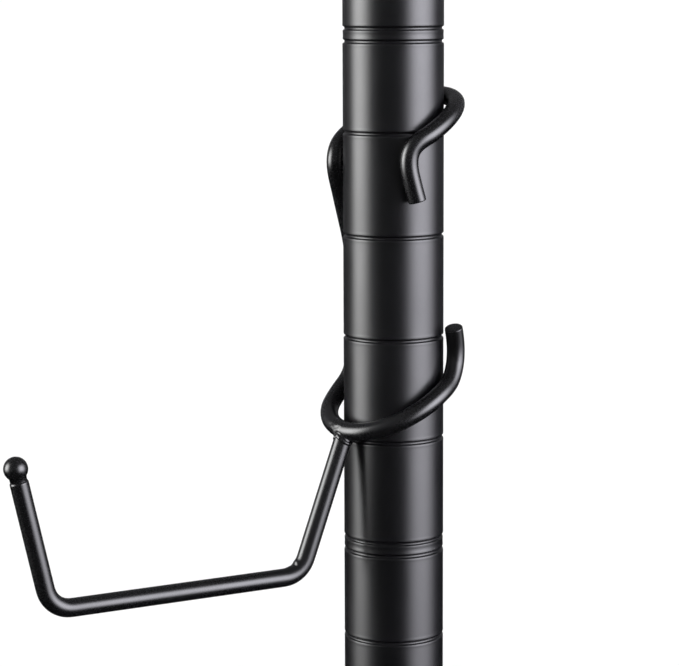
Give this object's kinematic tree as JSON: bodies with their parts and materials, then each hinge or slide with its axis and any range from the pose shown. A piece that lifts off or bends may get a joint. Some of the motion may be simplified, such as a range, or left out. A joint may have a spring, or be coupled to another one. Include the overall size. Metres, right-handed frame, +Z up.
{
  "type": "garden pole with side hook",
  "caption": "Short section of grooved round garden pole with a clip-on bent-wire side hook whose U-shaped drop arm ends in a ball, for hanging a feeder or basket.",
  "frame": {"origin": "centre of the connector stud's lower end face, on the pole's axis", "axes": "+Z up along the pole's axis, -X along the hook's drop arm as the hook is set at rest, +Y to the side of the clip's shank"},
  "size_m": [0.1225, 0.0348, 0.2059],
  "materials": {
    "pole_coat": "satin black powder coat",
    "wire_coat": "satin to semi-gloss black powder coat",
    "cap_plastic": "moulded matt black",
    "zinc_plate": "bright zinc plate"
  },
  "bodies": {
    "joint_stud": {"connector_stud": "zinc_plate"},
    "pole": {"pole_tube": "pole_coat", "bottom_insert": "zinc_plate"},
    "cap": {"top_cap": "cap_plastic"},
    "hook": {"clip_rod": "wire_coat", "arm_rod": "wire_coat", "arm_weld": "wire_coat", "tip_ball": "wire_coat"}
  },
  "joints": [
    {"name": "pole_twist", "type": "hinge", "parent": "joint_stud", "child": "pole", "pos_m": [0, 0, 0.013], "axis": [0, 0, 1], "continuous": true},
    {"name": "hook_slide", "type": "slide", "parent": "pole", "child": "hook", "axis": [0, 0, 1], "range_m": [-0.03, 0.03]},
    {"name": "cap_pull", "type": "slide", "parent": "pole", "child": "cap", "axis": [0, 0, 1], "range_m": [0, 0.012]}
  ]
}
